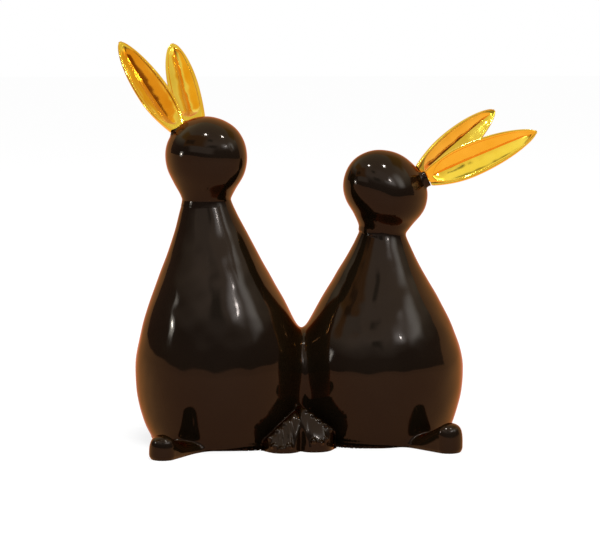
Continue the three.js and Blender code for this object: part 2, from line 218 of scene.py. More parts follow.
# Slow unevenness of the hand-finished skin, as layers of waves in random directions
WAVES = [
    {"length": 34.0, "height": 0.15, "count": 4},
    {"length": 15.0, "height": 0.05, "count": 6},
    {"length": 8.0, "height": 0.01, "count": 6},
]
WAVE_VARIATION = (0.75, 1.3)
WAVE_SEED = 7

AXIS_OFFSET = BODY_SPACING / 2
DEPTH_RATIO = BELLY_DEPTH / (2 * BELLY_RADIUS)

left_low, left_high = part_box("left_body")
right_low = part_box("right_body")[0]
JOIN_X = (left_high.x + right_low.x) / 2
AXIS_Y = (left_low.y + left_high.y) / 2
PLACE = np.array([JOIN_X, AXIS_Y, 0.0])


def to_frame(points):
    """Points in the figurine's millimetres become metres in the frame."""
    return np.asarray(points) * METRES + PLACE


def turn_about(axis, degrees):
    """A rotation matrix about one of the axes."""
    return np.array(Matrix.Rotation(math.radians(degrees), 3, axis))


def unit(vector):
    vector = np.asarray(vector, float)
    return vector / np.linalg.norm(vector)


def heading(bearing, rise):
    """The way that a bearing from the right toward the back and a rise give."""
    level = math.cos(math.radians(rise))
    return np.array([
        level * math.cos(math.radians(bearing)),
        level * math.sin(math.radians(bearing)),
        math.sin(math.radians(rise)),
    ])


def toward(azimuth, elevation):
    """The way from the figurine to something that is seen at these angles from the front."""
    a = math.radians(azimuth)
    e = math.radians(elevation)
    return np.array([math.sin(a) * math.cos(e), -math.cos(a) * math.cos(e), math.sin(e)])


# Fields: negative inside the clay, positive outside, and close to the distance near the skin

def join(a, b, reach):
    """Both forms, with a fillet where they meet, which adds at most a sixth of its reach."""
    near = np.maximum(reach - np.abs(a - b), 0) / reach
    return np.minimum(a, b) - reach * near ** 3 / 6


def meet(a, b, reach):
    """What both forms share, with a rounded edge."""
    return -join(-a, -b, reach)


def curve(a, b, c, d):
    """Points along a cubic curve with two handles."""
    t = np.linspace(0, 1, PROFILE_CURVE_STEPS)[:, None]
    a, b, c, d = (np.asarray(point, float) for point in (a, b, c, d))
    return (1 - t) ** 3 * a + 3 * (1 - t) ** 2 * t * b + 3 * (1 - t) * t ** 2 * c + t ** 3 * d


def body_profile(neck):
    """Height, radius and slope along the side of a body."""
    lower = BELLY_HEIGHT - BASE_ROUNDING
    upper = neck["height"] - BELLY_HEIGHT
    swell = BELLY_RADIUS - BASE_RADIUS
    flare = BELLY_RADIUS - neck["radius"]
    quarter = np.linspace(0, math.pi / 2, PROFILE_EDGE_STEPS)
    edge = np.stack([
        BASE_RADIUS - BASE_ROUNDING * (1 - np.sin(quarter)),
        BASE_ROUNDING * (1 - np.cos(quarter)),
    ], axis=1)
    side = curve(
        (BASE_RADIUS, BASE_ROUNDING),
        (BASE_RADIUS + LOWER_BELLY["fullness"] * swell, BASE_ROUNDING + LOWER_BELLY["rise"] * lower),
        (BELLY_RADIUS, BASE_ROUNDING + LOWER_BELLY["swell"] * lower),
        (BELLY_RADIUS, BELLY_HEIGHT),
    )
    shoulder = curve(
        (BELLY_RADIUS, BELLY_HEIGHT),
        (BELLY_RADIUS, BELLY_HEIGHT + SHOULDER["fall"] * upper),
        (neck["radius"] + SHOULDER["flare_width"] * flare, BELLY_HEIGHT + SHOULDER["flare_rise"] * upper),
        (neck["radius"], neck["height"]),
    )
    outline = np.concatenate([edge, side[1:], shoulder[1:]])
    heights = np.linspace(0, neck["height"], PROFILE_LEVELS)
    radii = np.interp(heights, outline[:, 1], outline[:, 0])
    slopes = np.clip(np.gradient(radii, heights), -STEEPEST_SLOPE, STEEPEST_SLOPE)
    return heights, radii, slopes


def body_field(rabbit):
    """A turned body, a little flattened in depth, on an axis that leans toward its neck."""
    side = rabbit["side"]
    neck = rabbit["neck"]
    heights, radii, slopes = body_profile(neck)
    rotation, origin = neck_place(rabbit)

    def field(p):
        share = np.clip((p[:, 2] - BELLY_HEIGHT) / (neck["height"] - BELLY_HEIGHT), 0, None)
        eased = np.hypot(share, LEAN_START) - LEAN_START
        lean = neck["lean"] * (eased / (math.hypot(1, LEAN_START) - LEAN_START)) ** LEAN_POWER
        across = np.hypot(p[:, 0] - side * (AXIS_OFFSET + lean), p[:, 1] / DEPTH_RATIO)
        radius = np.interp(p[:, 2], heights, radii)
        slope = np.interp(p[:, 2], heights, slopes)
        skin = (across - radius) / np.sqrt(1 + slope ** 2)
        above = (p - origin) @ rotation[:, 2] - NECK_FILLET
        return np.maximum(skin, above)

    return field


def neck_place(rabbit):
    """The rotation and place of the top of a neck, where the head stands."""
    neck = rabbit["neck"]
    origin = np.array([rabbit["side"] * (AXIS_OFFSET + neck["lean"]), 0.0, neck["height"]])
    return turn_about("Y", neck["tilt"]), origin


def head_place(rabbit):
    """The rotation and the middle of a head, in its neck's frame."""
    head = rabbit["head"]
    turn = turn_about("Z", head["turn"])
    middle = turn @ np.array([0.0, -head["forward"], head["rise"]])
    return turn, middle


def oval(q, half):
    """Nearly the distance to an ellipsoid."""
    outer = np.linalg.norm(q / half, axis=1)
    inner = np.linalg.norm(q / half ** 2, axis=1)
    return outer * (outer - 1) / np.maximum(inner, TINY)


def head_field(rabbit, stubs=()):
    """An egg that stands on the neck with a straight throat, and the stubs that carry the ears."""
    head = rabbit["head"]
    neck_turn, neck_top = neck_place(rabbit)
    turn, middle = head_place(rabbit)
    nod = turn_about("X", head["nod"])
    half = np.array([head["width"], head["length"], head["height"]]) / 2
    # A level slice through a nodding egg is an ellipse again, moved a little
    spread = nod[1:, 1:] @ np.diag(half[1:] ** 2) @ nod[1:, 1:].T
    tall = math.sqrt(spread[1, 1])
    deep = math.sqrt(spread[0, 0] - spread[0, 1] ** 2 / spread[1, 1])
    ring = rabbit["neck"]["radius"]
    reach = math.hypot(ring / half[0], head["rise"] / tall)
    grazing = math.atan2(head["rise"] / tall, ring / half[0]) - math.acos(1 / reach)
    touch = head["rise"] - tall * math.sin(grazing)
    wide = half[0] * math.cos(grazing)
    deep = deep * math.cos(grazing)
    shift = turn[:2, :2] @ np.array([
        0.0, -head["forward"] - (head["rise"] - touch) * spread[0, 1] / spread[1, 1],
    ])

    def field(p):
        q = (p - neck_top) @ neck_turn
        # Egg
        e = ((q - middle) @ turn) @ nod
        ahead = -e[:, 1] / half[1]
        taper = 1 - SNOUT_TAPER * (np.hypot(ahead, SNOUT_EASE) + ahead) / 2
        e[:, 0] /= taper * (1 - head["jowl"] * np.clip(e[:, 2] / half[2], -1, 1))
        egg = oval(e, half)
        # Throat
        share = np.clip(q[:, 2] / touch, 0, THROAT_END)
        level = q[:, :2] - share[:, None] * shift
        turned = level @ turn[:2, :2]
        along = np.maximum(np.linalg.norm(level, axis=1), TINY)
        lower = ring * along / np.hypot(level[:, 0], level[:, 1] / DEPTH_RATIO)
        upper = along / np.hypot(turned[:, 0] / (wide * taper), turned[:, 1] / deep)
        slope = (upper - lower) / touch
        throat = (along - lower - share * (upper - lower)) / np.sqrt(1 + slope ** 2)
        throat = np.maximum(throat, -NECK_FILLET - q[:, 2])
        throat = meet(throat, q[:, 2] - touch, THROAT_EASE)
        skin = join(egg, throat, THROAT_FILLET)
        for basis, root, width in stubs:
            s = (q - root) @ basis
            stub = np.hypot(s[:, 0], s[:, 1] * width / EAR_ROOT_THICKNESS)
            stub = (stub - width / 2) * EAR_ROOT_THICKNESS / width
            inside = -EAR_STUB_LENGTH - width - s[:, 2]
            stub = np.maximum(stub, np.maximum(s[:, 2], inside))
            skin = join(skin, stub, STUB_FILLET)
        return skin

    return field


def ear_frames(rabbit):
    """Where each ear stands on its stub, in the neck's frame: X across, Y to its back, Z along."""
    neck_turn, neck_top = neck_place(rabbit)
    bare = head_field(rabbit)
    middle = head_place(rabbit)[1]
    frames = {}
    for place, ear in rabbit["ears"].items():
        outward = heading(*ear["seat"])
        near, far = 0.0, rabbit["head"]["length"]
        for _ in range(EAR_SEAT_HALVINGS):
            halfway = (near + far) / 2
            point = (middle + halfway * outward) @ neck_turn.T + neck_top
            if bare(point[None, :])[0] < 0:
                near = halfway
            else:
                far = halfway
        along = heading(*ear["pose"])
        back = unit(np.array([0.0, 1.0, 0.0]) - along[1] * along)
        back = np.array(Matrix.Rotation(math.radians(ear["twist"]), 3, Vector(along))) @ back
        basis = np.stack([np.cross(back, along), back, along], axis=1)
        root = middle + near * outward + along * (EAR_STUB_LENGTH - ear["sink"])
        frames[place] = (basis, root, ear["root"])
    return frames


def foot_field(rabbit):
    """A foot with a round, domed nose. Toward the belly it widens and falls to a low skirt."""
    side = rabbit["side"]
    foot = rabbit["foot"]
    turn = turn_about("Z", side * foot["splay"])
    nose = FOOT_NOSE - BASE_RADIUS - foot["reach"]

    def field(p):
        q = (p - np.array([side * AXIS_OFFSET, 0.0, 0.0])) @ turn
        along = np.clip(q[:, 1], nose, 0)
        radius = FOOT_NOSE + FOOT_SPREAD * (along - nose)
        under = np.clip(1 - q[:, 2] / FOOT_TOE_HEIGHT, 0, 1) ** 2 * FOOT_TOE_IN
        wall = np.hypot(q[:, 0], q[:, 1] - along) - radius + FOOT_BATTER * q[:, 2] + under
        above = foot["height"] - FOOT_SKIRT - FOOT_FALL * (along - nose)
        top = FOOT_SKIRT + (above + np.hypot(above, FOOT_SAG)) / 2
        return meet(wall, q[:, 2] - top, FOOT_EDGE)

    return field


def paw_field(paw):
    """A wedge with an oval outline, its creases cut in and its beads of glaze set on."""
    middle = np.array(paw["middle"])
    half = np.array(paw["half"])
    peak = np.array(paw["peak"])
    beads = []
    for bearing, share in paw["beads"]:
        way = toward(bearing, 0)
        gauge = (np.abs(way[:2] / half) ** PAW_OUTLINE_POWER).sum() ** (1 / PAW_OUTLINE_POWER)
        spot = peak.copy()
        spot[:2] += share * (middle + way[:2] / gauge - peak[:2])
        falls = [fall * ((spot - peak) @ toward(face, 0)) for face, fall in paw["faces"]]
        spot[2] -= max(falls) + BEAD_SINK
        beads.append(spot)

    def field(p):
        level = np.abs(p[:, :2] - middle) / half
        gauge = (level ** PAW_OUTLINE_POWER).sum(axis=1) ** (1 / PAW_OUTLINE_POWER)
        mound = None
        for bearing, fall in paw["faces"]:
            reach = (p - peak) @ toward(bearing, 0)
            face = (p[:, 2] - peak[2] + fall * reach) / math.hypot(1, fall)
            mound = face if mound is None else meet(mound, face, PAW_RIDGE)
        side = (gauge - 1) * half[0]
        mound = meet(mound, side, PAW_EDGE)
        for crease in paw["creases"]:
            start = np.array(crease["start"])
            line = np.array(crease["end"]) - start
            share = np.clip(((p[:, :2] - start) @ line) / (line @ line), 0, 1)
            aside = np.linalg.norm(p[:, :2] - start - share[:, None] * line, axis=1)
            depth = CREASE_DEPTH * share * np.clip((p[:, 2] - CREASE_FADE[0]) / CREASE_FADE[1], 0, 1)
            mound = mound + depth * np.exp(-(aside / CREASE_WIDTH) ** 2)
        for bead in beads:
            mound = join(mound, np.linalg.norm(p - bead, axis=1) - BEAD_RADIUS, BEAD_FILLET)
        return mound

    return field


def tail_field(rabbit):
    """A ball set into the back of the belly."""
    middle = np.array([rabbit["side"] * AXIS_OFFSET, BELLY_DEPTH / 2, TAIL_HEIGHT])

    def field(p):
        return np.linalg.norm(p - middle, axis=1) - TAIL_DIAMETER / 2

    return field


def nearby(field, origin, box):
    """The field only inside a box round its place, where its form and fillet are, to save work."""
    low, high = np.array(origin) + np.array(box)

    def limited(p):
        inside = np.all((p > low) & (p < high), axis=1)
        values = np.full(len(p), FAR_OUTSIDE)
        if inside.any():
            values[inside] = field(p[inside])
        return values

    return limited


EAR_FRAMES = {name: ear_frames(rabbit) for name, rabbit in RABBITS.items()}
GLAZED = []
FIELDS = {}
for name, rabbit in RABBITS.items():
    side = rabbit["side"]
    foot_way = math.sin(math.radians(rabbit["foot"]["splay"]))
    foot_root = (side * (AXIS_OFFSET + BASE_RADIUS * foot_way), 0.0, 0.0)
    FIELDS[f"{name}_body"] = body_field(rabbit)
    FIELDS[f"{name}_head"] = nearby(
        head_field(rabbit, list(EAR_FRAMES[name].values())), neck_place(rabbit)[1], HEAD_BOX,
    )
    FIELDS[f"{name}_outer_foot"] = nearby(foot_field(rabbit), foot_root, FOOT_BOX)
    FIELDS[f"{name}_inner_paw"] = nearby(paw_field(PAWS[name]), (0.0, 0.0, 0.0), PAW_BOX)
    FIELDS[f"{name}_tail"] = nearby(tail_field(rabbit), (side * AXIS_OFFSET, 0.0, 0.0), TAIL_BOX)
    GLAZED += [f"{name}_{part}" for part in ("body", "head", "outer_foot", "inner_paw", "tail")]

LABELS = {piece: number + 1 for number, piece in enumerate(GLAZED)}

rng = np.random.default_rng(WAVE_SEED)
RIPPLES = []
for layer in WAVES:
    for _ in range(layer["count"]):
        way = unit(rng.normal(size=3))
        RIPPLES.append((
            way * 2 * math.pi / (layer["length"] * rng.uniform(*WAVE_VARIATION)),
            rng.uniform(0, 2 * math.pi),
            layer["height"] / math.sqrt(layer["count"] / 2),
        ))


def unevenness(p):
    """How far the skin stands in or out from its smooth form."""
    return sum(height * np.sin(p @ way + phase) for way, phase, height in RIPPLES)


def skin_field(p):
    """The whole glazed skin, and what each piece's own field says there."""
    own = {piece: FIELDS[piece](p) for piece in GLAZED}
    low, high = WEB_SPREAD_HEIGHTS
    spread = np.clip((high - p[:, 2]) / (high - low), 0, 1)
    skin = join(own["left_body"], own["right_body"], WEB_FILLET + WEB_SPREAD * spread)
    for name in RABBITS:
        skin = join(skin, own[f"{name}_head"], NECK_FILLET)
        skin = join(skin, own[f"{name}_outer_foot"], FOOT_FILLET)
        skin = join(skin, own[f"{name}_tail"], TAIL_FILLET)
    paws = join(own["left_inner_paw"], own["right_inner_paw"], PARTING_FILLET)
    skin = join(skin, paws, PAW_FILLET)
    return skin + unevenness(p), own


def piece_labels(p):
    """The number of the piece that holds each point, or 0 outside the clay and under the ground."""
    skin, own = skin_field(p)
    bodies = np.minimum(own["left_body"], own["right_body"])
    labels = np.where(p[:, 0] < 0, LABELS["left_body"], LABELS["right_body"])
    for name, rabbit in RABBITS.items():
        rotation, origin = neck_place(rabbit)
        above = ((p - origin) @ rotation[:, 2] > 0) & (p[:, 0] * rabbit["side"] > 0)
        labels[above] = LABELS[f"{name}_head"]
        for part in ("outer_foot", "tail"):
            closer = own[f"{name}_{part}"] < bodies
            labels[closer] = LABELS[f"{name}_{part}"]
    paws = np.minimum(own["left_inner_paw"], own["right_inner_paw"])
    on_left = own["left_inner_paw"] < own["right_inner_paw"]
    paw_labels = np.where(on_left, LABELS["left_inner_paw"], LABELS["right_inner_paw"])
    closer = paws < bodies
    labels[closer] = paw_labels[closer]
    labels[(skin >= 0) | (p[:, 2] < 0)] = 0
    return labels.astype(np.uint8)


def in_chunks(work, p):
    """The work done on the points a part at a time, to save memory."""
    return np.concatenate([work(p[i:i + CHUNK]) for i in range(0, len(p), CHUNK)])


def slope_at(p):
    """The skin's value and gradient, from four probes around each point."""
    corners = np.array([[1, -1, -1], [-1, -1, 1], [-1, 1, -1], [1, 1, 1]], float)
    values = [
        in_chunks(lambda points: skin_field(points)[0], p + PROBE * corner)
        for corner in corners
    ]
    gradient = sum(value[:, None] * corner for value, corner in zip(values, corners))
    return sum(values) / 4, gradient / (4 * PROBE)


def label_grid(low, counts):
    """Piece numbers on a grid. Blocks that lie wholly outside are skipped."""
    blocks = -(-counts // BLOCK)
    grid = np.zeros(blocks * BLOCK, np.uint8)
    corner = np.stack(np.meshgrid(*[np.arange(n) for n in blocks], indexing="ij"), -1).reshape(-1, 3)
    middles = low + (corner * BLOCK + (BLOCK - 1) / 2) * SKIN_STEP
    reach = BLOCK * SKIN_STEP
    distance = in_chunks(lambda points: skin_field(points)[0], middles)
    corner = corner[distance < reach]
    cell = np.stack(np.meshgrid(*[np.arange(BLOCK)] * 3, indexing="ij"), -1).reshape(-1, 3)
    index = (corner[:, None, :] * BLOCK + cell).reshape(-1, 3)
    labels = in_chunks(lambda rows: piece_labels(low + rows * SKIN_STEP), index)
    grid[index[:, 0], index[:, 1], index[:, 2]] = labels
    return grid


def around(grid, first):
    """The grid's values at the eight corners of each cell, whose lowest corner is given."""
    return np.stack([grid[tuple((first + corner).T)] for corner in CELL_CORNERS], axis=1)


def weave_skin():
    """One net over all the glazed pieces: a point in each cell where two pieces or air meet."""
    low = np.array(SKIN_LOW)
    counts = np.ceil((np.array(SKIN_HIGH) - low) / SKIN_STEP).astype(int) + 1
    grid = label_grid(low, counts)
    shape = np.array(grid.shape)

    # Cells in which more than one number meets
    lowest = grid[:-1, :-1, :-1].copy()
    highest = lowest.copy()
    for dx, dy, dz in CELL_CORNERS:
        part = grid[dx:shape[0] - 1 + dx, dy:shape[1] - 1 + dy, dz:shape[2] - 1 + dz]
        np.minimum(lowest, part, out=lowest)
        np.maximum(highest, part, out=highest)
    mixed = lowest != highest
    cells = np.argwhere(mixed)
    number = np.full(mixed.shape, -1, np.int32)
    number[mixed] = np.arange(len(cells))

    # Faces: one for each pair of unlike neighbours on the grid
    faces = []
    for axis in range(3):
        second, third = (axis + 1) % 3, (axis + 2) % 3
        ahead = [slice(None)] * 3
        behind = [slice(None)] * 3
        ahead[axis] = slice(1, None)
        behind[axis] = slice(None, -1)
        unlike = np.argwhere(grid[tuple(behind)] != grid[tuple(ahead)])
        step = np.eye(3, dtype=int)
        ring = [
            number[tuple((unlike - back).T)]
            for back in (step[second] + step[third], step[third], 0 * step[0], step[second])
        ]
        ring = np.stack(ring, axis=1)
        near = grid[tuple(unlike.T)]
        far = grid[tuple((unlike + step[axis]).T)]
        faces.append((ring, near, far))
    ring = np.concatenate([face[0] for face in faces])
    near = np.concatenate([face[1] for face in faces])
    far = np.concatenate([face[2] for face in faces])

    # Places: the middle of each cell's crossings
    corners = around(grid, cells)
    offsets = np.array(CELL_CORNERS, float)
    total = np.zeros((len(cells), 3))
    weight = np.zeros(len(cells))
    for a in range(8):
        for b in range(a + 1, 8):
            if np.abs(offsets[a] - offsets[b]).sum() == 1:
                differs = corners[:, a] != corners[:, b]
                total[differs] += (offsets[a] + offsets[b]) / 2
                weight[differs] += 1
    points = low + (cells + total / weight[:, None]) * SKIN_STEP

    open_air = (corners == 0).any(axis=1)
    on_ground = cells[:, 2] == 1
    upper = corners[:, [1, 3, 5, 7]]
    rim = on_ground & (upper == 0).any(axis=1)
    base = on_ground & ~rim
    pieces_met = np.array([len(set(row) - {0}) for row in corners.tolist()])
    seam = pieces_met > 1
    skin = open_air & ~on_ground
    return points, ring, near, far, {"skin": skin, "rim": rim, "base": base, "seam": seam}


def settle(points, kinds):
    """Moves the skin's points onto the zero level, and the rim's along the ground. None goes lower."""
    live = kinds["skin"] | kinds["rim"]
    for _ in range(SETTLING_STEPS):
        value, gradient = slope_at(points[live])
        flat = kinds["rim"][live]
        gradient[flat, 2] = 0
        size = np.maximum((gradient ** 2).sum(axis=1), FLATTEST)
        move = -(value / size)[:, None] * gradient
        length = np.linalg.norm(move, axis=1)
        move *= np.minimum(1, SKIN_STEP / np.maximum(length, TINY))[:, None]
        points[live] += move
    points[kinds["rim"] | kinds["base"], 2] = 0
    points[:, 2] = np.maximum(points[:, 2], 0)
    return points


def relax(points, ring, kinds):
    """Evens out the net. Points on a seam in the skin are drawn only toward others on it."""
    edges = np.concatenate([ring[:, [i, (i + 1) % 4]] for i in range(4)])
    edges = np.unique(np.sort(edges, axis=1), axis=0)
    line = kinds["seam"] & (kinds["skin"] | kinds["rim"])
    keep = ~line[edges[:, 0]] | line[edges[:, 1]]
    back = ~line[edges[:, 1]] | line[edges[:, 0]]
    start = np.concatenate([edges[keep, 0], edges[back, 1]])
    end = np.concatenate([edges[keep, 1], edges[back, 0]])
    count = np.maximum(np.bincount(start, minlength=len(points)), 1)
    fixed = kinds["rim"] & ~kinds["seam"]
    for _ in range(RELAXING_STEPS):
        mean = np.stack([
            np.bincount(start, points[end, axis], minlength=len(points)) / count
            for axis in range(3)
        ], axis=1)
        move = RELAXING_SHARE * (mean - points)
        move[fixed] = 0
        flat = kinds["rim"] | kinds["base"]
        move[flat, 2] = 0
        points = points + move
    return points


def put(name, data):
    """A new object in the scene."""
    thing = bpy.data.objects.new(name, data)
    bpy.context.scene.collection.objects.link(thing)
    return thing


def skin_object(name, points, rings, normals):
    """An object from points in millimetres, rings of four corners and a normal for each corner."""
    mesh = bpy.data.meshes.new(name)
    mesh.vertices.add(len(points))
    mesh.vertices.foreach_set("co", to_frame(points).astype(np.float32).ravel())
    mesh.loops.add(rings.size)
    mesh.loops.foreach_set("vertex_index", rings.astype(np.int32).ravel())
    mesh.polygons.add(len(rings))
    mesh.polygons.foreach_set("loop_start", np.arange(0, rings.size, rings.shape[1], dtype=np.int32))
    mesh.polygons.foreach_set("use_smooth", np.ones(len(rings), bool))
    mesh.update(calc_edges=True)
    mesh.normals_split_custom_set(normals.astype(np.float32))
    return put(name, mesh)


def glazed_pieces():
    """The skin as one closed object for each piece. Where two pieces touch, both have the face."""
    points, ring, near, far, kinds = weave_skin()
    points = settle(points, kinds)
    points = relax(points, ring, kinds)
    points = settle(points, kinds)
    gradient = slope_at(points)[1]
    normals = gradient / np.maximum(np.linalg.norm(gradient, axis=1), TINY)[:, None]
    pieces = {}
    for name, label in LABELS.items():
        outward = near == label
        inward = far == label
        rings = np.concatenate([ring[outward], ring[inward][:, ::-1]])
        beyond = np.concatenate([far[outward], near[inward]])
        used, local = np.unique(rings, return_inverse=True)
        local = local.reshape(rings.shape)
        corner = points[rings]
        flat = np.cross(corner[:, 2] - corner[:, 0], corner[:, 3] - corner[:, 1])
        flat /= np.maximum(np.linalg.norm(flat, axis=1), TINY)[:, None]
        glazed = (beyond == 0) & ~(corner[:, :, 2] == 0).all(axis=1)
        shading = np.where(glazed[:, None, None], normals[rings], flat[:, None, :])
        pieces[name] = skin_object(name, points[used], local, shading.reshape(-1, 3))
    return pieces


# Ears

def ear_half_width(ear, share):
    """Half an ear's width at a share of its length."""
    widest = ear["width"] / 2
    root = ear["root"] / 2
    tip = EAR_TIP_WIDTH / 2
    if share < EAR_WIDEST_AT:
        swell = math.sin(math.pi / 2 * share / EAR_WIDEST_AT) ** EAR_SWELL_POWER
        return root + (widest - root) * swell
    past = (share - EAR_WIDEST_AT) / (1 - EAR_WIDEST_AT)
    return tip + (widest - tip) * (1 - past ** 2) ** ear["blunt"]


def ear_opening(share):
    """How far the trough has opened: 0 at the root and the tip, with round ends."""
    opening = 1.0
    for distance, ease in zip((share - EAR_OPENING[0], EAR_OPENING[1] - share), EAR_OPENING_EASE):
        part = min(max(distance / ease, 0), 1)
        opening *= math.sqrt(1 - (1 - part) ** 2)
    return opening


def ear_section(ear, share, shrink=1.0):
    """One slice: a round back, a bead along each edge and a trough with a crisp fold."""
    half = ear_half_width(ear, share)
    fill = min(1, half / (ear["width"] / 2))
    rim = EAR_RIM * (EAR_RIM_LEAST + (1 - EAR_RIM_LEAST) * fill)
    swell = 1 if share < EAR_WIDEST_AT else fill
    thickness = EAR_RIM + (EAR_THICKNESS - EAR_RIM) * swell
    opening = ear_opening(share)
    points = []
    for i in range(EAR_BACK_STEPS + 1):
        angle = math.pi * i / EAR_BACK_STEPS
        points.append((half * math.cos(angle), rim / 2 + (thickness - rim / 2) * math.sin(angle)))
    front = []
    for i in range(1, EAR_BEAD_STEPS + 1):
        angle = math.radians(EAR_BEAD_TURN) * i / EAR_BEAD_STEPS
        front.append((half - rim / 2 + rim / 2 * math.cos(angle), rim / 2 * (1 - math.sin(angle))))
    edge, land = front[-1]
    inner = edge * max(opening, EAR_OPENING_LEAST) * EAR_TROUGH_SHARE
    for i in range(1, EAR_LAND_STEPS + 1):
        front.append((edge + (inner - edge) * i / EAR_LAND_STEPS, land))
    depth = min(EAR_TROUGH_DEPTH * opening * fill, thickness - EAR_WALL) - land
    for i in range(1, EAR_WALL_STEPS + 1):
        part = (i / EAR_WALL_STEPS) ** EAR_WALL_CROWDING
        lip = EAR_LIP_DEPTH * (1 - (1 - min(part / EAR_LIP_WIDTH, 1)) ** 2)
        sunk = lip + EAR_WALL_FALL * part + EAR_WALL_SAG * part ** 2
        front.append((inner * (1 - part), land + max(depth, 0) * sunk))
    points += [(-x, y) for x, y in front]
    points += list(reversed(front[:-1]))
    middle = thickness / 2
    lift = -EAR_ROOT_THICKNESS / 2
    return [(x * shrink, middle + (y - middle) * shrink + lift) for x, y in points]


def ear_piece(name, ear, frame_of_ear, rabbit):
    """A leaf of slices on its stub, closed by a small dome at the tip. Its fold stays crisp."""
    neck_turn, neck_top = neck_place(rabbit)
    basis, root, _ = frame_of_ear
    length = ear["length"] + ear["sink"]
    rings = []
    for station in range(EAR_STATIONS + 1):
        share = station / EAR_STATIONS
        height = share * (length - EAR_TIP_WIDTH / 2) + SLIP_JOINT
        rings.append([(x, y, height) for x, y in ear_section(ear, share)])
    for step in range(1, EAR_DOME_STEPS + 1):
        angle = math.pi / 2 * step / EAR_DOME_STEPS
        height = length - EAR_TIP_WIDTH / 2 * (1 - math.sin(angle)) + SLIP_JOINT
        shrink = max(math.cos(angle), EAR_DOME_LEAST)
        rings.append([(x, y, height) for x, y in ear_section(ear, 1.0, shrink)])
    count = len(rings[0])
    local = np.array(rings).reshape(-1, 3)
    points = (local @ basis.T + root) @ neck_turn.T + neck_top
    faces = []
    for ring in range(len(rings) - 1):
        for i in range(count):
            a = ring * count + i
            b = ring * count + (i + 1) % count
            faces.append((a, b, b + count, a + count))
    last = (len(rings) - 1) * count
    faces.append(tuple(reversed(range(count))))
    faces.append(tuple(last + i for i in range(count)))
    mesh = bpy.data.meshes.new(name)
    mesh.from_pydata(to_frame(points).tolist(), [], faces)
    mesh.polygons.foreach_set("use_smooth", np.ones(len(faces), bool))
    fold = EAR_BACK_STEPS + EAR_BEAD_STEPS + EAR_LAND_STEPS + EAR_WALL_STEPS
    for edge in mesh.edges:
        a, b = edge.vertices
        root_edge = a < count and b < count
        along_fold = a % count == fold and b % count == fold
        if root_edge or along_fold:
            edge.use_edge_sharp = True
    mesh.update()
    return put(name, mesh)


# Materials

CLOUD_BAND = (0.35, 0.7)
SHEEN_BAND = (0.3, 0.7)
WAVE_DETAIL = 1.0
PEEL_DETAIL = 2.0
CLOUD_DETAIL = 4.0
CLOUD_ROUGHNESS = 0.6


def node_group(name, inputs, outputs):
    """A shader node group with named values in and out."""
    group = bpy.data.node_groups.new(name, "ShaderNodeTree")
    for way, labels in (("INPUT", inputs), ("OUTPUT", outputs)):
        for label in labels:
            group.interface.new_socket(label, in_out=way, socket_type="NodeSocketFloat")
    return group, group.nodes.new("NodeGroupInput"), group.nodes.new("NodeGroupOutput")


def math_node(tree, operation, a, b):
    """The result of an operation on numbers or sockets."""
    node = tree.nodes.new("ShaderNodeMath")
    node.operation = operation
    for socket, value in zip(node.inputs, (a, b)):
        if isinstance(value, (int, float)):
            socket.default_value = value
        else:
            tree.links.new(value, socket)
    return node.outputs[0]


def noise_node(tree, vector, scale, detail, roughness=0.5):
    """Noise between 0 and 1, whose scale is a socket."""
    node = tree.nodes.new("ShaderNodeTexNoise")
    node.inputs["Detail"].default_value = detail
    node.inputs["Roughness"].default_value = roughness
    tree.links.new(vector, node.inputs["Vector"])
    tree.links.new(scale, node.inputs["Scale"])
    return node.outputs["Fac"]


def fired_surface():
    """Slow waves, fine peel and a cloudy mask, as glaze and lustre have after firing."""
    group, given, made = node_group(
        "fired_surface",
        ["Wave Scale", "Wave Height", "Peel Scale", "Peel Height", "Cloud Scale"],
        ["Height", "Cloud"],
    )
    place = group.nodes.new("ShaderNodeTexCoord").outputs["Object"]
    waves = noise_node(group, place, given.outputs["Wave Scale"], WAVE_DETAIL)
    peel = noise_node(group, place, given.outputs["Peel Scale"], PEEL_DETAIL)
    waves = math_node(group, "MULTIPLY", waves, given.outputs["Wave Height"])
    peel = math_node(group, "MULTIPLY", peel, given.outputs["Peel Height"])
    group.links.new(math_node(group, "ADD", waves, peel), made.inputs["Height"])
    cloud = noise_node(group, place, given.outputs["Cloud Scale"], CLOUD_DETAIL, CLOUD_ROUGHNESS)
    group.links.new(cloud, made.inputs["Cloud"])
    return group


def finish_material(name, surface, values, colours, roughness, relief, gloss):
    """A Principled material with the fired surface's relief, cloudy colour and sheen."""
    material = bpy.data.materials.new(name)
    material.use_nodes = True
    tree = material.node_tree
    shader = tree.nodes["Principled BSDF"]
    fired = tree.nodes.new("ShaderNodeGroup")
    fired.node_tree = surface
    for label, value in values.items():
        fired.inputs[label].default_value = value
    ramp = tree.nodes.new("ShaderNodeValToRGB")
    for element, position, colour in zip(ramp.color_ramp.elements, CLOUD_BAND, colours):
        element.position = position
        element.color = (*colour, 1)
    tree.links.new(fired.outputs["Cloud"], ramp.inputs["Fac"])
    tree.links.new(ramp.outputs["Color"], shader.inputs["Base Color"])
    sheen = tree.nodes.new("ShaderNodeMapRange")
    sheen.inputs["From Min"].default_value = SHEEN_BAND[0]
    sheen.inputs["From Max"].default_value = SHEEN_BAND[1]
    sheen.inputs["To Min"].default_value = roughness[0]
    sheen.inputs["To Max"].default_value = roughness[1]
    tree.links.new(fired.outputs["Cloud"], sheen.inputs["Value"])
    tree.links.new(sheen.outputs["Result"], shader.inputs["Roughness"])
    bump = tree.nodes.new("ShaderNodeBump")
    bump.inputs["Strength"].default_value = 1.0
    bump.inputs["Distance"].default_value = relief
    tree.links.new(fired.outputs["Height"], bump.inputs["Height"])
    tree.links.new(bump.outputs["Normal"], shader.inputs["Normal"])
    for label, value in gloss.items():
        shader.inputs[label].default_value = value
    return material


